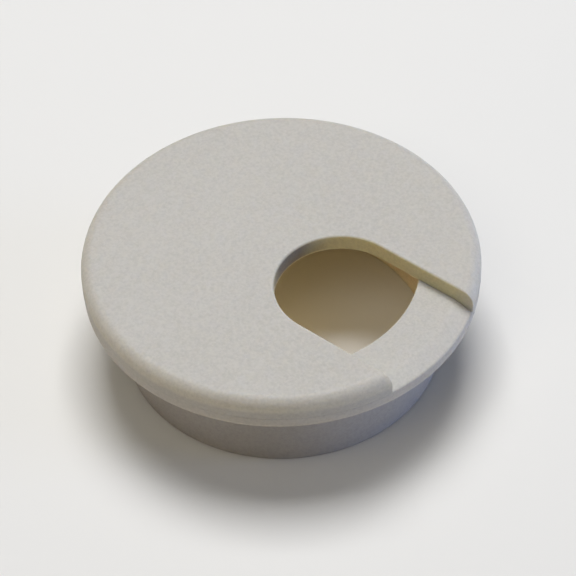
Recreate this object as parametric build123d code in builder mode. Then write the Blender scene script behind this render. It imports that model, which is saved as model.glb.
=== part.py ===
from build123d import *
import os

# A desk grommet in two mouldings. The liner is a flanged sleeve that drops into a round hole in a
# desk top. The cap is a slotted disc that clips into the liner and turns in it, so that the slot,
# and the cables that leave through it, can face any way.
#
# Millimetres. +Z points up, out of the desk. The origin is on the axis, in the plane of the desk
# top, which is the underside of the liner's flange. The cable slot opens towards +X.

# ---- The liner -------------------------------------------------------------------------------
desk_hole_diameter = 50.8  # a 2 inch hole saw's cut
barrel_clearance = 0.2  # radial room between the barrel and that hole
barrel_length = 14.6  # how far the barrel reaches below the desk top
barrel_land = 5.0  # the upper stretch of barrel that is truly cylindrical
barrel_taper = 0.5  # how much the radius drops from the land to the barrel's end
barrel_wall = 2.6  # at the land
barrel_end_chamfer = 0.4  # lead-in on the barrel's outer lower edge

flange_cover = 5.0  # how far the flange covers the desk around the hole
flange_thickness = 2.45
flange_edge_thickness = 1.75  # the flange slopes down to this at its edge
flange_slope_width = 3.0  # width of the sloped ring
flange_lower_round = 0.2  # outer edge that lies on the desk
flange_upper_round = 0.2  # outer edge that meets the cap, and makes the parting line

lip_inset = 1.45  # how far the lip stands in from the bore
lip_thickness = 2.45  # measured down from the flange's top

# ---- The cap ---------------------------------------------------------------------------------
cap_overhang = 0.1  # the cap's radius over the flange's, so that the seam can't catch
cap_thickness = 2.7  # over the flange's flat ring; the rim hangs lower, over its slope
cap_side = 0.8  # what the soft upper rim leaves of that thickness
slot_width = 20.0
slot_reach = 11.4  # from the axis to the centre of the slot's round end
slot_edge_round = 0.35  # along the slot's upper edge
seat_gap = 0.06  # between the cap's underside and the flange's top

turning_clearance = 0.06  # radial room between the cap's skirt and the liner's lip
skirt_wall = 1.4
skirt_foot = 0.9  # how far the skirt reaches below the clips' beads
skirt_setback = 3.5  # from each side of the slot to the skirt's end
skirt_end_chamfer = 0.35  # lead-in on the skirt's outer lower edge

clip_angles = (90, 180, 270)  # the three clips, counted from the slot
clip_arc = 26  # degrees of skirt that each clip's tongue takes
clip_slit = 1.2  # width of the slits beside a tongue
clip_catch = 0.35  # how far a clip's bead hooks under the lip
clip_play = 0.15  # between the lip's underside and the bead
bead_height = 1.3

# ---- Sizes that follow -----------------------------------------------------------------------
barrel_radius = desk_hole_diameter / 2 - barrel_clearance
barrel_end_radius = barrel_radius - barrel_taper
bore_radius = barrel_radius - barrel_wall
flange_radius = desk_hole_diameter / 2 + flange_cover
slope_radius = flange_radius - flange_slope_width
lip_radius = bore_radius - lip_inset
lip_underside = flange_thickness - lip_thickness

cap_radius = flange_radius + cap_overhang
cap_bottom = flange_thickness + seat_gap
cap_top = cap_bottom + cap_thickness
rim_bottom = flange_edge_thickness + seat_gap
slot_half = slot_width / 2
skirt_radius = lip_radius - turning_clearance
skirt_inner_radius = skirt_radius - skirt_wall
bead_root = skirt_radius - skirt_wall / 2
bead_radius = lip_radius + clip_catch
bead_top = lip_underside - clip_play
bead_bottom = bead_top - bead_height
skirt_bottom = bead_bottom - skirt_foot
skirt_depth = cap_bottom - skirt_bottom


# The liner: a flange that slopes down to its edge, a barrel, and a bore left narrower at the top,
# where it makes the lip that holds the cap. Flange and barrel are turned from their sections.
with BuildPart() as liner:
    with BuildSketch(Plane.XZ):
        with BuildLine():
            Polyline(
                (0, 0),
                (flange_radius, 0),
                (flange_radius, flange_edge_thickness),
                (slope_radius, flange_thickness),
                (0, flange_thickness),
                close=True,
            )
        make_face()
    revolve(axis=Axis.Z)
    fillet(liner.edges().group_by(Axis.Z)[0], flange_lower_round)
    upper_edge = liner.edges().filter_by_position(Axis.Z, flange_edge_thickness, flange_edge_thickness)
    fillet(upper_edge, flange_upper_round)

    with BuildSketch(Plane.XZ):
        with BuildLine():
            Polyline(
                (0, 0),
                (barrel_radius, 0),
                (barrel_radius, -barrel_land),
                (barrel_end_radius, -barrel_length),
                (0, -barrel_length),
                close=True,
            )
        make_face()
    revolve(axis=Axis.Z)
    chamfer(liner.edges().group_by(Axis.Z)[0], barrel_end_chamfer)

    with BuildSketch(Plane.XY.offset(lip_underside)):
        Circle(bore_radius)
    extrude(amount=-(barrel_length + lip_underside), mode=Mode.SUBTRACT)
    with BuildSketch(Plane.XY.offset(flange_thickness)):
        Circle(lip_radius)
    extrude(amount=-lip_thickness, mode=Mode.SUBTRACT)
liner.part.label = "liner"


# The cap: a disc whose rim hangs over the flange's slope, with a skirt that fits the liner's lip.
# Beads on the skirt's tongues hook under the lip. The slot runs from near the middle out through
# the rim.
with BuildPart() as cap:
    with BuildSketch(Plane.XZ):
        with BuildLine():
            Polyline(
                (0, cap_bottom),
                (slope_radius, cap_bottom),
                (cap_radius, rim_bottom),
                (cap_radius, cap_top),
                (0, cap_top),
                close=True,
            )
        make_face()
    revolve(axis=Axis.Z)
    fillet(cap.edges().group_by(Axis.Z)[-1], cap_thickness - cap_side)

    with BuildSketch(Plane.XY.offset(cap_bottom)):
        Circle(skirt_radius)
        Circle(skirt_inner_radius, mode=Mode.SUBTRACT)
    extrude(amount=-skirt_depth)
    skirt_outer_edge = cap.edges().group_by(Axis.Z)[0].sort_by(SortBy.RADIUS)[-1]
    chamfer(skirt_outer_edge, skirt_end_chamfer)

    # One bead in section, turned through each clip's arc: flat on top, sloped below.
    for angle in clip_angles:
        start = Plane.XZ.rotated((0, 0, angle - clip_arc / 2))
        with BuildSketch(start):
            with BuildLine():
                Polyline(
                    (bead_root, bead_top),
                    (bead_radius, bead_top),
                    (bead_radius, bead_top - bead_height / 3),
                    (bead_root, bead_bottom),
                    close=True,
                )
            make_face()
        revolve(axis=Axis.Z, revolution_arc=clip_arc)

    # Slits on both sides of each tongue, from the skirt's foot up to the cap's underside.
    slit_sides = [a + side * clip_arc / 2 for a in clip_angles for side in (-1, 1)]
    with BuildSketch(Plane.XY.offset(skirt_bottom)):
        for angle in slit_sides:
            with PolarLocations(skirt_radius, 1, start_angle=angle):
                Rectangle(2 * (skirt_wall + clip_catch) + 1, clip_slit)
    extrude(amount=skirt_depth, mode=Mode.SUBTRACT)

    # The skirt stops short of the slot on both sides.
    with BuildSketch(Plane.XY.offset(skirt_bottom)):
        with Locations((cap_radius, 0)):
            Rectangle(2 * cap_radius, slot_width + 2 * skirt_setback)
    extrude(amount=skirt_depth, mode=Mode.SUBTRACT)

    with BuildSketch(Plane.XY.offset(cap_top)):
        with Locations((slot_reach, 0)):
            Circle(slot_half)
        with Locations((slot_reach + cap_radius / 2, 0)):
            Rectangle(cap_radius, slot_width)
    extrude(amount=rim_bottom - cap_top, mode=Mode.SUBTRACT)
    top_edges = cap.faces().sort_by(Axis.Z)[-1].edges()
    slot_edges = top_edges - top_edges.filter_by(GeomType.CIRCLE).sort_by(SortBy.RADIUS)[-1:]
    fillet(slot_edges, slot_edge_round)
cap.part.label = "cap"


os.makedirs("parts", exist_ok=True)
export_step(liner.part, "parts/liner.step")
export_step(cap.part, "parts/cap.step")

for piece in (liner, cap):
    box = piece.part.bounding_box()
    print(piece.part.label, "volume", round(piece.part.volume), "from", box.min, "to", box.max)
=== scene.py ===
# %% [markdown]
# # A desk grommet in two mouldings
#
# A desk grommet lines the hole that cables use to get through a desk top. This one is two pieces
# of warm grey plastic. The liner is a sleeve with a flange, and it drops into the hole. The cap is
# a flat disc with a slot cut out through its rim, and it clips into the liner and turns in it.
#
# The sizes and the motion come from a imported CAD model, which is loaded first and never changed.
# What Blender adds is the finished surface: softly rounded edges, moulding marks and a fine sand
# grain. Everything is in metres, with +Z up along the grommet's axis and the slot towards +X.

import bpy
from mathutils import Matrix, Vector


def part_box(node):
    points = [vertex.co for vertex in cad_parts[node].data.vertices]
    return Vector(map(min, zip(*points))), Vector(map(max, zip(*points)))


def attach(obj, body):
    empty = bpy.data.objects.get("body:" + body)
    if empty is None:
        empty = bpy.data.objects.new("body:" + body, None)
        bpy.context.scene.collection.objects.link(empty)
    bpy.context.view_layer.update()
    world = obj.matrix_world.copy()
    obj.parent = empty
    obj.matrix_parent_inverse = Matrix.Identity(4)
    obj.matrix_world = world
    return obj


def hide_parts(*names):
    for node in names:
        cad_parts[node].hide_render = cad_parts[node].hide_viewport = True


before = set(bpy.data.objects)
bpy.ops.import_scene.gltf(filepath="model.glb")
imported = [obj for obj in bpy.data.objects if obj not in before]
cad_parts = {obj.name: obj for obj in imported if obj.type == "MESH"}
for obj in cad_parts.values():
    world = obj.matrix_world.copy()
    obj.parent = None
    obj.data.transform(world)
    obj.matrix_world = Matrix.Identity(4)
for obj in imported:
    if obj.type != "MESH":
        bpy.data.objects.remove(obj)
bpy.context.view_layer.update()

# %% [markdown]
# ## Measuring the frame
#
# A piece fits if its sizes are read from the thing that it has to fit. Each CAD node is a mesh
# round the Z axis, so most of the grommet's sizes are a distance from that axis at some height.
# One helper reads the smallest and the largest such distance, and the rest of the sizes follow.
# The few that can't be read so simply are written down in millimetres.

# %% Radii and heights of the two mouldings
import math

import bmesh
import bpy
from mathutils import Matrix, Vector

MM = 0.001


def radii_at(node, height):
    """Smallest and largest distance from the axis of a CAD node's points at one height."""
    points = [v.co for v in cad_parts[node].data.vertices]
    radii = [p.xy.length for p in points if abs(p.z - height) < 0.005 * MM]
    return min(radii), max(radii)


liner_low, liner_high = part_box("liner")
cap_low, cap_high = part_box("cap")

flange_top, barrel_foot = liner_high.z, liner_low.z
flange_radius = liner_high.y
land_end = -5.0 * MM
barrel_chamfer = 0.4 * MM
flange_slope_width = 3.0 * MM
skirt_wall = 1.4 * MM
lip_radius = radii_at("liner", flange_top)[0]
barrel_radius = radii_at("liner", land_end)[1]
bore_radius = radii_at("liner", barrel_foot)[0]
barrel_end_radius = radii_at("liner", barrel_foot)[1] + barrel_chamfer

slope_radius = flange_radius - flange_slope_width
flange_edge = 1.75 * MM

seat_gap = 0.06 * MM
cap_radius, cap_top, skirt_foot = cap_high.y, cap_high.z, cap_low.z
cap_underside = flange_top + seat_gap
rim_bottom = flange_edge + seat_gap
skirt_inner_radius = radii_at("cap", skirt_foot)[0]
skirt_radius = skirt_inner_radius + skirt_wall
slot_half = 10.0 * MM
slot_reach = 11.4 * MM

sizes = {"flange radius": flange_radius, "lip radius": lip_radius, "bore radius": bore_radius,
         "barrel radius": barrel_radius, "barrel's end": barrel_end_radius, "cap radius": cap_radius,
         "skirt's inside": skirt_inner_radius, "cap's underside": cap_underside, "cap's top": cap_top}
for what, size in sizes.items():
    print(f"{what:16s} {size / MM:7.2f} mm")

# %% [markdown]
# ## Rounding the corners of a section
#
# No edge of a moulding is truly sharp, and it is the thin highlight along a rounded edge that
# makes plastic look real. A Bevel modifier could round the edges of a finished mesh. Here the
# section is rounded before it is turned, which gives exact arcs and an even mesh. Each arc gets
# one more point a little way out along each side. Those holding points keep the shading of the
# flat faces flat right up to the arc.

# %% A section with round corners
HOLD = 0.12 * MM


def rounded_section(corners, steps=6):
    """Turns a closed list of (radius, height, rounding) into points, with an arc at each corner."""
    made = []
    for i, (x, z, rounding) in enumerate(corners):
        here = Vector((x, z))
        before = Vector(corners[i - 1][:2]) - here
        after = Vector(corners[(i + 1) % len(corners)][:2]) - here
        if rounding == 0:
            made.append(here)
            continue
        half = before.angle(after) / 2
        reach = rounding / math.tan(half)
        a, b = before.normalized(), after.normalized()
        centre = here + (a + b).normalized() * (rounding / math.sin(half))
        start, end = here + a * reach, here + b * reach
        if before.length > reach + 2 * HOLD:
            made.append(start + a * HOLD)
        sweep = math.pi - 2 * half
        turn = math.copysign(1, (start - centre).cross(end - centre))
        for k in range(steps + 1):
            spoke = (start - centre).copy()
            spoke.rotate(Matrix.Rotation(turn * sweep * k / steps, 2))
            made.append(centre + spoke)
        if after.length > reach + 2 * HOLD:
            made.append(end + b * HOLD)
    return made


# %% [markdown]
# ## From points to an object
#
# Every piece ends the same way: points and faces go into a bmesh, coincident points are joined,
# the normals are made to face outwards, and the faces are set to shade smoothly. A Weighted
# Normal modifier then lets the large faces decide the direction of the normals they share with
# the small ones, so that a flat face stays flat beside its rounded edge.

# %% Finish a bmesh as an object
JOIN = 0.001 * MM


def finish_mesh(name, bm):
    """Makes an object from a bmesh, with joined points, outward normals and smooth shading."""
    bmesh.ops.remove_doubles(bm, verts=bm.verts, dist=JOIN)
    bmesh.ops.recalc_face_normals(bm, faces=bm.faces)
    mesh = bpy.data.meshes.new(name)
    bm.to_mesh(mesh)
    bm.free()
    mesh.shade_smooth()
    piece = bpy.data.objects.new(name, mesh)
    bpy.context.scene.collection.objects.link(piece)
    return piece


def weigh_normals(piece, sharp_degrees=40):
    """Keeps flat faces flat in the shading, and edges over the angle sharp."""
    piece.data.set_sharp_from_angle(angle=math.radians(sharp_degrees))
    weighted = piece.modifiers.new("weighted_normals", "WEIGHTED_NORMAL")
    weighted.keep_sharp = True
    weighted.weight = 80


def describe(piece):
    """Prints how large a mesh is and whether it is closed."""
    bm = bmesh.new()
    bm.from_mesh(piece.data)
    loose = sum(1 for e in bm.edges if len(e.link_faces) != 2)
    volume = bm.calc_volume() / MM**3
    print(f"{piece.name}: {len(bm.faces)} faces, {loose} open edges, {volume:.0f} mm3")
    bm.free()


# %% [markdown]
# ## The liner
#
# The liner is round all over, so it is a section turned about the axis, as on a lathe. The Screw
# modifier could turn it, but a few lines of bmesh give the same mesh and keep it editable.
# From the lip the section runs over the flange, down its slope, round its edge, along its
# underside, down the barrel's straight land and the slight taper that helps it into the hole, and
# back up the bore to the ledge under the lip.

# %% Turn the liner's section
TURNED_STEPS = 288


def turned(name, section, segments):
    """A closed section of (radius, height) points, turned through a full circle."""
    bm = bmesh.new()
    rings = []
    for k in range(segments):
        angle = 2 * math.pi * k / segments
        c, s = math.cos(angle), math.sin(angle)
        rings.append([bm.verts.new((p.x * c, p.x * s, p.y)) for p in section])
    for k, ring in enumerate(rings):
        following = rings[(k + 1) % segments]
        for i in range(len(section)):
            j = (i + 1) % len(section)
            bm.faces.new((ring[i], ring[j], following[j], following[i]))
    return finish_mesh(name, bm)


liner_section = rounded_section([
    (lip_radius, flange_top, 0.25 * MM),
    (slope_radius, flange_top, 4 * MM),
    (flange_radius, flange_edge, 0.25 * MM),
    (flange_radius, 0, 0.15 * MM),
    (barrel_radius, 0, 0.15 * MM),
    (barrel_radius, land_end, 0),
    (barrel_end_radius, barrel_foot, 0.5 * MM),
    (bore_radius, barrel_foot, 0.3 * MM),
    (bore_radius, 0, 0.3 * MM),
    (lip_radius, 0, 0.2 * MM),
])
liner = turned("liner_moulding", liner_section, TURNED_STEPS)
describe(liner)

# %% [markdown]
# ## The outline of a slotted disc
#
# The cap isn't round, because the slot runs out through its rim. Cutting the slot with a boolean
# would leave a hard edge where the slot meets the rounded rim, and that edge is hard to bevel
# cleanly. So the cap is built up as a stack of outlines instead, one for each height. Every
# outline has four runs of points: the round outside, a small round corner, the slot's wall, and
# the other corner. All outlines have the same number of points, so neighbours join into quads,
# and the corners stay soft all the way up the rim.

# %% One outline at one height
ARC_STEPS = 192
CORNER_STEPS = 8
MOUTH_ROUND = 0.15 * MM


def slotted_outline(outer, half):
    """The four runs of points round a slotted disc of that radius and that half width of slot."""
    corner_y = half + MOUTH_ROUND
    corner_x = math.sqrt((outer - MOUTH_ROUND) ** 2 - corner_y**2)
    first = math.atan2(corner_y, corner_x)

    rim = []
    for k in range(ARC_STEPS + 1):
        angle = first + (2 * math.pi - 2 * first) * k / ARC_STEPS
        rim.append((outer * math.cos(angle), outer * math.sin(angle)))

    corner = []
    for k in range(CORNER_STEPS + 1):
        angle = first + (-math.pi / 2 - first) * k / CORNER_STEPS
        corner.append((corner_x + MOUTH_ROUND * math.cos(angle),
                       corner_y + MOUTH_ROUND * math.sin(angle)))

    quarter = ARC_STEPS // 4
    wall = [(corner_x + (slot_reach - corner_x) * k / quarter, half) for k in range(quarter)]
    for k in range(2 * quarter + 1):
        angle = math.pi / 2 + math.pi * k / (2 * quarter)
        wall.append((slot_reach + half * math.cos(angle), half * math.sin(angle)))
    wall += [(x, -y) for x, y in reversed(wall[:quarter])]
    return rim, corner, wall


def outline_loop(outer, half, height):
    """The outline as one closed run: outside, lower corner, slot wall backwards, upper corner."""
    rim, corner, wall = slotted_outline(outer, half)
    lower = [(x, -y) for x, y in corner]
    flat = rim[:-1] + lower[:-1] + wall[::-1][:-1] + corner[::-1][:-1]
    return [Vector((x, y, height)) for x, y in flat]


# %% [markdown]
# ## The levels of the cap's rim
#
# The rim's upper edge has a wide round, with a short straight side below it. The slot's walls
# stand straight and have only a small round at the top. Both follow from the same list of heights:
# at each, the outside steps in by one amount, and the slot's wall steps back by another.

# %% Heights, and how far the outline steps in at each
FOOT_ROUND = 0.06 * MM
SLOT_ROUND = 0.35 * MM
rim_round = 1.9 * MM


def slot_step(height):
    """How far the slot's wall stands back at that height."""
    up = max(0.0, 1 - (cap_top - height) / SLOT_ROUND)
    return SLOT_ROUND * (1 - math.sqrt(max(0.0, 1 - up * up)))


def cap_levels():
    """(height, step in of the outside, step back of the slot's wall), from the bottom up."""
    yield rim_bottom, FOOT_ROUND + HOLD, FOOT_ROUND + HOLD
    for k in range(5):
        angle = math.radians(90 * k / 4)
        step = FOOT_ROUND * (1 - math.sin(angle))
        yield rim_bottom + FOOT_ROUND * (1 - math.cos(angle)), step, step
    rim_steps = 30
    for k in range(rim_steps + 1):
        angle = math.radians(90 * k / rim_steps)
        height = cap_top - rim_round * (1 - math.sin(angle))
        yield height, rim_round * (1 - math.cos(angle)), slot_step(height)
    yield cap_top, rim_round + HOLD, SLOT_ROUND + HOLD


levels = list(cap_levels())
print("cap built from", len(levels), "outlines of", len(outline_loop(cap_radius, slot_half, 0)), "points")

# %% [markdown]
# ## Filling the flat faces
#
# The disc's top and bottom are flat horseshoes. One large face would fill each, but a patch of
# quads is a better mesh to work on later. The rim, the slot's wall and the two corners are the
# four sides of the patch, and a Coons blend spreads the points between them.

# %% Build the cap's disc
def horseshoe_patch(bm, outer, half, height):
    """Quads that fill the outline at one height."""
    rim, corner, wall = slotted_outline(outer, half)
    rows = []
    for j in range(CORNER_STEPS + 1):
        v = j / CORNER_STEPS
        row = []
        for i in range(ARC_STEPS + 1):
            u = i / ARC_STEPS
            left, right = Vector(corner[j]), Vector((corner[j][0], -corner[j][1]))
            low, high = Vector(rim[i]), Vector(wall[i])
            sides = (1 - u) * left + u * right + (1 - v) * low + v * high
            ends = ((1 - u) * (1 - v) * Vector(rim[0]) + u * (1 - v) * Vector(rim[-1])
                    + (1 - u) * v * Vector(wall[0]) + u * v * Vector(wall[-1]))
            row.append(bm.verts.new((*(sides - ends), height)))
        rows.append(row)
    for j in range(CORNER_STEPS):
        for i in range(ARC_STEPS):
            bm.faces.new((rows[j][i], rows[j][i + 1], rows[j + 1][i + 1], rows[j + 1][i]))


def slotted_disc(name):
    """The cap's disc, without its skirt."""
    bm = bmesh.new()
    loops = []
    for height, step_in, step_back in levels:
        points = outline_loop(cap_radius - step_in, slot_half + step_back, height)
        loops.append([bm.verts.new(p) for p in points])
    for lower, upper in zip(loops, loops[1:]):
        for i in range(len(lower)):
            j = (i + 1) % len(lower)
            bm.faces.new((lower[i], lower[j], upper[j], upper[i]))
    for height, step_in, step_back in (levels[0], levels[-1]):
        horseshoe_patch(bm, cap_radius - step_in, slot_half + step_back, height)
    return finish_mesh(name, bm)


cap = slotted_disc("cap_moulding")
describe(cap)

# %% [markdown]
# ## The skirt and its clips
#
# Under the disc stands a ring of wall that fits the liner's lip. It stops short of the slot, and
# slits set off three tongues, which on the real cap can bend. Each tongue carries a bead that snaps
# under the lip. Every stretch is the same kind of thing, a rounded section swept along an arc, so
# one function makes them all. Their tops reach a little way into the disc, ready to be joined to it.

# %% Sweep a section along an arc
def swept_arc(bm, section, start, end, steps):
    """A closed section swept about the axis. start and end give the angle at a radius."""
    rings = []
    for k in range(steps + 1):
        ring = []
        for p in section:
            angle = start(p.x) + (end(p.x) - start(p.x)) * k / steps
            ring.append(bm.verts.new((p.x * math.cos(angle), p.x * math.sin(angle), p.y)))
        rings.append(ring)
    for ring, following in zip(rings, rings[1:]):
        for i in range(len(section)):
            j = (i + 1) % len(section)
            bm.faces.new((ring[i], ring[j], following[j], following[i]))
    ends = [bm.faces.new(rings[0]), bm.faces.new(rings[-1])]
    edges = [e for face in ends for e in face.edges]
    bmesh.ops.bevel(bm, geom=edges, offset=0.1 * MM, segments=2, affect="EDGES", profile=0.5)


# %% Sections of the plain skirt and of a clip's tongue
ROOT = 0.5 * MM
LEAD_IN = 0.35 * MM
CATCH = 0.35 * MM
bead_top = -0.15 * MM
bead_knee = bead_top - 0.43 * MM
bead_end = -0.9 * MM
buried = cap_underside + ROOT

skirt_outside = [(skirt_radius, buried, 0)]
skirt_inside = [
    (skirt_radius, skirt_foot + LEAD_IN, 0.1 * MM),
    (skirt_radius - LEAD_IN, skirt_foot, 0.1 * MM),
    (skirt_inner_radius, skirt_foot, 0.2 * MM),
    (skirt_inner_radius, cap_underside - ROOT, 0.3 * MM),
    (skirt_inner_radius - 2 * ROOT, buried, 0),
]
bead = [
    (skirt_radius, bead_top, 0.05 * MM),
    (lip_radius + CATCH, bead_top, 0.1 * MM),
    (lip_radius + CATCH, bead_knee, 0.15 * MM),
    (skirt_radius, bead_end, 0.1 * MM),
]
plain_section = rounded_section(skirt_outside + skirt_inside, steps=4)
tongue_section = rounded_section(skirt_outside + bead + skirt_inside, steps=4)

# %% The seven stretches of skirt
CLIP_ANGLES = (90, 180, 270)
CLIP_HALF_ARC = 13
SLIT_HALF = 0.6 * MM
skirt_end_y = slot_half + 3.5 * MM


def beside_slit(angle, side):
    """The edge of a slit of even width, as an angle that depends on the radius."""
    return lambda radius: math.radians(angle) + side * math.asin(SLIT_HALF / radius)


def skirt_mesh():
    """All the stretches of skirt, as closed shells in one bmesh."""
    bm = bmesh.new()
    edges = [lambda radius: math.asin(skirt_end_y / radius)]
    for angle in CLIP_ANGLES:
        for side in (-1, 1):
            edges.append(beside_slit(angle + side * CLIP_HALF_ARC, -1))
            edges.append(beside_slit(angle + side * CLIP_HALF_ARC, 1))
    edges.append(lambda radius: 2 * math.pi - math.asin(skirt_end_y / radius))
    for k, (start, end) in enumerate(zip(edges[::2], edges[1::2])):
        section = tongue_section if k % 2 else plain_section
        steps = max(8, round(math.degrees(end(skirt_radius) - start(skirt_radius)) / 1.5))
        swept_arc(bm, section, start, end, steps)
    return bm


skirt = finish_mesh("skirt", skirt_mesh())
describe(skirt)

# %% [markdown]
# ## Joining the skirt, and the marks of the mould
#
# The disc still reaches down to the foot of its rim all over. A turned tool in the shape of the
# flange's top, raised by the gap, hollows it out, so that the rim hangs over the slope. A boolean
# union then adds the skirt, because on the real cap they are one moulding. The same way the small
# round marks are pressed in that ejector pins leave where they push a moulding out of its mould,
# and the stub is added where the plastic flowed in. They are on the hidden sides, as a mould maker
# would place them.

# %% Join and press
PIN_DEPTH = 0.06 * MM
def combine(target, tool, operation):
    """Applies a boolean of two closed meshes to the first, and removes the second."""
    modifier = target.modifiers.new(operation, "BOOLEAN")
    modifier.operation, modifier.solver, modifier.object = operation, "EXACT", tool
    evaluated = target.evaluated_get(bpy.context.evaluated_depsgraph_get())
    joined = bpy.data.meshes.new_from_object(evaluated)
    target.modifiers.clear()
    target.data = joined
    bpy.data.objects.remove(tool)


def discs(name, places, radius, low, high):
    """Short upright cylinders, as one tool for a boolean."""
    bm = bmesh.new()
    for x, y in places:
        where = Matrix.Translation((x, y, (low + high) / 2))
        bmesh.ops.create_cone(bm, cap_ends=True, segments=40, radius1=radius, radius2=radius,
                              depth=high - low, matrix=where)
    return finish_mesh(name, bm)


def round_places(radius, angles):
    """Points at a radius from the axis, at angles in degrees."""
    return [(radius * math.cos(math.radians(a)), radius * math.sin(math.radians(a))) for a in angles]


# Two things would leave open edges in the result, which describe() counts: a ring of the tool's points
# at the skirt's radius, and a tool that ends right at the edge of the rim's foot. This one has neither.
hollow_end = cap_radius - FOOT_ROUND - 0.05 * MM
hollow = turned("hollow", [Vector(p) for p in (
    (0, cap_underside), (slope_radius, cap_underside),
    (hollow_end, rim_bottom), (hollow_end, rim_bottom - MM),
    (0, rim_bottom - MM))], TURNED_STEPS)
combine(cap, hollow, "DIFFERENCE")
describe(cap)

combine(cap, skirt, "UNION")
pins = discs("pins", round_places(16 * MM, (70, 125, 180, 235, 290)), 1.6 * MM,
             cap_underside - 0.5 * MM, cap_underside + PIN_DEPTH)
combine(cap, pins, "DIFFERENCE")
gate = discs("gate", [(-7 * MM, 0)], 0.8 * MM, cap_underside - 0.35 * MM, cap_underside + 0.5 * MM)
combine(cap, gate, "UNION")
describe(cap)

pins = discs("pins", round_places(27.9 * MM, (45, 135, 225, 315)), 1.2 * MM, -0.5 * MM, PIN_DEPTH)
combine(liner, pins, "DIFFERENCE")
describe(liner)

for piece in (cap, liner):
    weigh_normals(piece)

# %% [markdown]
# ## Wiring a material as arithmetic
#
# A procedural finish is arithmetic on positions and noise. Node by node that is hard to read, so
# a small class stands for a socket and lets Python's own operators add the Math nodes. Any other
# node comes from one method, which takes the node's type, its settings, and what goes into it.

# %% A socket that can be added and multiplied
class Wire:
    """A socket in a node tree. Arithmetic on it adds Math nodes, and node() adds any other."""

    def __init__(self, tree, socket=None):
        self.tree, self.socket = tree, socket

    def node(self, kind, settings=None, inputs=None, output=0):
        """Adds a node: its settings first, then a value or a Wire for each input."""
        made = self.tree.nodes.new(kind)
        for key, value in (settings or {}).items():
            setattr(made, key, value)
        for key, value in (inputs or {}).items():
            if isinstance(value, Wire):
                self.tree.links.new(value.socket, made.inputs[key])
            else:
                made.inputs[key].default_value = value
        return Wire(self.tree, made.outputs[output] if made.outputs else None)

    def math(self, operation, *values):
        return self.node("ShaderNodeMath", {"operation": operation}, dict(enumerate(values)))

    def __add__(self, other):
        return self.math("ADD", self, other)

    def __sub__(self, other):
        return self.math("SUBTRACT", self, other)

    def __rsub__(self, other):
        return self.math("SUBTRACT", other, self)

    def __mul__(self, other):
        return self.math("MULTIPLY", self, other)

    def __truediv__(self, other):
        return self.math("DIVIDE", self, other)

    def clamp(self):
        return self.math("MAXIMUM", self.math("MINIMUM", self, 1.0), 0.0)

    __radd__ = __add__


def empty_tree(owner):
    """The node tree of a material or a world, emptied, as a Wire to start from."""
    owner.use_nodes = True
    owner.node_tree.nodes.clear()
    return Wire(owner.node_tree)


# %% [markdown]
# ## The plastic
#
# Office plastics are moulded in a tool with a spark-eroded surface, which gives the part a fine
# matt sand grain. Close up it is a bed of shallow pits a third of a millimetre across. Three
# things make it here: a bump from two sizes of noise, a trace of lighter and darker in the
# colour, and pits that are a little rougher than the ridges between them. Handling polishes the
# edges, so the rim and the walls of the slot are slightly smoother than the middle.
#
# The colour isn't the same all over either. Apart from the grain, its changes from place to place
# are painted light and shade. The bore is painted a lighter warm ivory, painted light for the glow
# that comes up through the open barrel, and the slot's walls a warmer putty, painted warm bounce
# light. The barrel's outside and the outer side of the rim are painted darker, and so is the slot's
# round end: painted shade. The plastic also lets a little light into it, which is what Subsurface
# does, and that softens its edges.

# %% Shared measures on a piece
def distance_from_axis(point):
    """Distance of a point from the grommet's axis."""
    flat = point.node("ShaderNodeVectorMath", {"operation": "MULTIPLY"}, {0: point, 1: (1, 1, 0)})
    return point.node("ShaderNodeVectorMath", {"operation": "LENGTH"}, {0: flat}, output="Value")


def part_of(vector, axis):
    """One of a vector's three numbers."""
    return vector.node("ShaderNodeSeparateXYZ", {}, {0: vector}, output=axis)


def noise(point, size, detail=2.0, roughness=0.5):
    """Noise whose blobs are about that size, in metres. It runs from 0 to 1 round a half."""
    return point.node("ShaderNodeTexNoise", {},
                      {"Vector": point, "Scale": 1 / size, "Detail": detail, "Roughness": roughness})


def blend(factor, first, second):
    """A colour between two others. Each may be a Wire or three numbers."""
    first, second = (c if isinstance(c, Wire) else (*c, 1) for c in (first, second))
    return factor.node("ShaderNodeMix", {"data_type": "RGBA"}, {0: factor, 6: first, 7: second}, output=2)


# %% The plastic's material
PUTTY = (0.500, 0.470, 0.420)
# Painted warm bounce light for the walls that face sideways.
WALL_BOUNCE_PUTTY = (0.630, 0.580, 0.355)
# Painted shade for the slot's round end.
SLOT_END_SHADE = (0.250, 0.228, 0.190)
# Painted light for the bore: the glow that comes up through the open barrel.
PAINTED_BORE_LIGHT = (0.800, 0.670, 0.430)
# Painted shade for the barrel's outside and the outer side of the rim and the flange.
SIDE_SHADE_GREY = (0.370, 0.345, 0.315)
SHADE = 0.86


def ramp_up(value, start, width):
    """0 below the start, 1 beyond the width, and a straight line between."""
    return ((value - start) / width).clamp()


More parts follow.
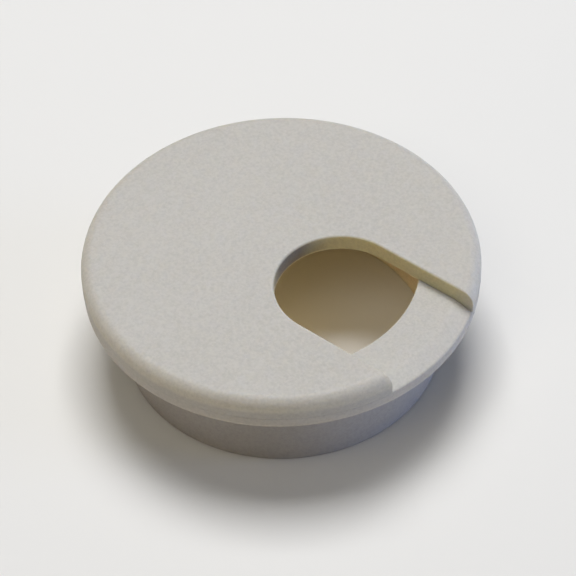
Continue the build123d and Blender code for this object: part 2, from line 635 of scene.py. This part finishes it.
def moulded_plastic(name, grain_depth, base_roughness, worn_from):
    """Warm grey plastic with a sand grain. worn_from is the radius where handling starts to show."""
    material = bpy.data.materials.new(name)
    tree = empty_tree(material)
    point = tree.node("ShaderNodeTexCoord", output="Object")
    height = part_of(point, "Z")
    facing_up = part_of(tree.node("ShaderNodeTexCoord", output="Normal"), "Z").clamp()

    grain = noise(point, 0.42 * MM, detail=3.0, roughness=0.6)
    pits = noise(point, 0.9 * MM, detail=2.0)
    clouds = noise(point, 14 * MM, detail=3.0)
    radius = distance_from_axis(point)
    wear = ramp_up(radius, worn_from, 1.5 * MM)

    # Where a point is, and which way it faces, decides the painted light and shade in its colour.
    # The bore is painted lighter and warmer: painted light for the glow from under the open barrel.
    inside = (1 - facing_up) * (1 - ramp_up(radius, 23.2 * MM, 0.8 * MM))
    inside = inside * (1 - ramp_up(height, 2.2 * MM, 0.3 * MM))
    # The barrel's outside, and the outer side of the rim and the flange, are painted darker: painted
    # shade.
    barrel = ramp_up(radius, 24.2 * MM, 0.2 * MM) * (1 - ramp_up(height, -0.05 * MM, 0.05 * MM))
    side = ramp_up(radius, 30 * MM, 0.3 * MM) * (1 - ramp_up(height, 2.8 * MM, 0.8 * MM))
    # Walls that face sideways are painted warmer, most near the axis: painted warm bounce light.
    walls = (1 - facing_up) * (1 - ramp_up(radius, 27 * MM, 3 * MM) * 0.75)
    shade = ((grain - 0.5) * 2.7 + (pits - 0.5) * 1.0 + (clouds - 0.5) * 0.35 + 0.35).clamp()
    # The slot's round end is painted dark: painted shade.
    slot_end_shade_mask = (1 - facing_up) * (1 - ramp_up(radius, 3 * MM, 5 * MM))
    slot_end_shade_mask = slot_end_shade_mask * ramp_up(height, cap_underside + 0.04 * MM, 0.2 * MM)
    painted_light_base = blend(slot_end_shade_mask, blend(walls, PUTTY, WALL_BOUNCE_PUTTY), SLOT_END_SHADE)
    painted_light_base = blend(inside, painted_light_base, PAINTED_BORE_LIGHT)
    lighter = blend((barrel + side * 0.70).clamp(), painted_light_base, SIDE_SHADE_GREY)
    darker = lighter.node("ShaderNodeVectorMath", {"operation": "SCALE"}, {0: lighter, "Scale": SHADE})
    colour = blend(shade, lighter, darker)
    gloss = base_roughness + (grain - 0.5) * 0.16 + (clouds - 0.5) * 0.10 - wear * 0.07
    relief = (grain * 0.75 + pits * 0.25) * (1 - wear * 0.45)
    normal = tree.node("ShaderNodeBump", {},
                       {"Strength": 1.0, "Distance": grain_depth, "Height": relief})

    shader = tree.node("ShaderNodeBsdfPrincipled", {},
                       {"Base Color": colour, "Roughness": gloss, "Normal": normal,
                        "IOR": 1.49, "Specular IOR Level": 0.4, "Subsurface Weight": 0.35,
                        "Subsurface Radius": (1.0, 0.72, 0.40), "Subsurface Scale": 2.5 * MM})
    tree.node("ShaderNodeOutputMaterial", {}, {"Surface": shader})
    return material


cap_plastic = moulded_plastic("cap_plastic", 0.045 * MM, 0.55, cap_radius - rim_round)
liner_plastic = moulded_plastic("liner_plastic", 0.03 * MM, 0.52, flange_radius - 0.8 * MM)

# %% [markdown]
# ## Putting the pieces on the frame
#
# Each finished moulding stands for its CAD node, which is hidden but still there for the physics.
# It rides on the node's body, so the cap turns in the liner when the joint does.

# %% Ride, replace and give each piece its plastic
for piece, part, plastic in ((cap, "cap", cap_plastic), (liner, "liner", liner_plastic)):
    piece.data.materials.clear()
    piece.data.materials.append(plastic)
    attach(piece, part)
    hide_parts(part)

# %% [markdown]
# ## The floor and the light
#
# A product shot on a pale floor needs little: one soft light above and a little behind, so that
# the top is even and the front falls into shade, and a weak one in front that lifts the rounded
# rim. A warm fill from the left and a cool one from the right stand low, and the sky is dim. The
# main light is a little cool and the plastic a little warm, so the lit faces look neutral.
#
# The fifth lamp is tiny and stands inside the barrel, hidden from the camera. A grommet is open
# below, and this is the warm light that comes up through it, which the floor would shut out.

# %% Floor
floor_material = bpy.data.materials.new("pale_floor")
floor_tree = empty_tree(floor_material)
floor_shader = floor_tree.node("ShaderNodeBsdfPrincipled", {},
                               {"Base Color": (0.77, 0.745, 0.70, 1), "Roughness": 0.9,
                                "Specular IOR Level": 0.2})
floor_tree.node("ShaderNodeOutputMaterial", {}, {"Surface": floor_shader})

floor_bm = bmesh.new()
bmesh.ops.create_grid(floor_bm, x_segments=4, y_segments=4, size=3.0,
                      matrix=Matrix.Translation((0, 0, barrel_foot)))
floor = finish_mesh("floor", floor_bm)
floor.data.materials.append(floor_material)

# %% Sky
world = bpy.data.worlds.new("soft_sky")
bpy.context.scene.world = world
sky_tree = empty_tree(world)
sky = sky_tree.node("ShaderNodeBackground", {}, {"Color": (0.92, 0.96, 1.04, 1), "Strength": 0.11})
sky_tree.node("ShaderNodeOutputWorld", {}, {"Surface": sky})

# %% [markdown]
# ## The camera
#
# A long lens from thirteen cap radii away keeps the ellipses of the rims nearly parallel. The
# camera looks from 40 degrees round and 46 degrees up, leans by less than two degrees, and aims a
# little below the cap, so that the whole grommet sits in the frame.

# %% Point things at the grommet
VIEW_AZIMUTH = 39.7
VIEW_ELEVATION = 46.33
lid_centre = Vector((0, 0, cap_top))


def direction(azimuth, elevation):
    """From the grommet towards a place at that azimuth and elevation, as a unit vector."""
    a, e = math.radians(azimuth), math.radians(elevation)
    return Vector((math.sin(a) * math.cos(e), -math.cos(a) * math.cos(e), math.sin(e)))


def soft_light(name, azimuth, elevation, distance, size, watts, colour):
    """A square soft light that faces the grommet. Azimuth counts from the camera's own."""
    data = bpy.data.lights.new(name, "AREA")
    data.size, data.energy, data.color = size, watts, colour
    light = bpy.data.objects.new(name, data)
    bpy.context.scene.collection.objects.link(light)
    back = direction(VIEW_AZIMUTH + azimuth, elevation)
    light.location = lid_centre + back * distance
    light.rotation_euler = back.to_track_quat("Z", "Y").to_euler()
    return light


soft_light("overhead", 180, 72.5, 0.9, 0.48, 8.1, (0.95, 0.975, 1.02))
soft_light("front_top", -35, 56, 0.9, 0.5, 1.25, (1.0, 0.965, 0.86))
soft_light("left_fill", -52, 2, 0.8, 0.3, 0.7, (1.0, 0.66, 0.32))
soft_light("right_fill", 84, 0, 0.8, 0.3, 4.4, (0.58, 0.77, 1.32))

glow_data = bpy.data.lights.new("bore_glow", "POINT")
glow_data.energy, glow_data.color, glow_data.shadow_soft_size = 0.0011, (1.0, 0.80, 0.46), 8 * MM
glow = bpy.data.objects.new("bore_glow", glow_data)
bpy.context.scene.collection.objects.link(glow)
glow.location = (0, 0, -5 * MM)
glow.visible_camera = False

# %% Camera
CAMERA_DISTANCE = 13 * cap_radius
AIM_RIGHT, AIM_DOWN = 0.92 * MM, 5.65 * MM
CAMERA_ROLL = math.radians(-1.68)

camera_data = bpy.data.cameras.new("camera")
camera_data.lens = 163.05
camera_data.clip_start, camera_data.clip_end = 0.01, 20
camera = bpy.data.objects.new("camera", camera_data)
bpy.context.scene.collection.objects.link(camera)
back = direction(VIEW_AZIMUTH, VIEW_ELEVATION)
camera.location = lid_centre + back * CAMERA_DISTANCE
right = Vector((0, 0, 1)).cross(back).normalized()
up = back.cross(right)
aim = lid_centre + right * AIM_RIGHT - up * AIM_DOWN
roll = Matrix.Rotation(CAMERA_ROLL, 4, "Z")
look = (camera.location - aim).to_track_quat("Z", "Y").to_matrix().to_4x4()
camera.matrix_world = Matrix.Translation(camera.location) @ look @ roll
bpy.context.scene.camera = camera
bpy.context.scene.view_settings.view_transform = "Standard"
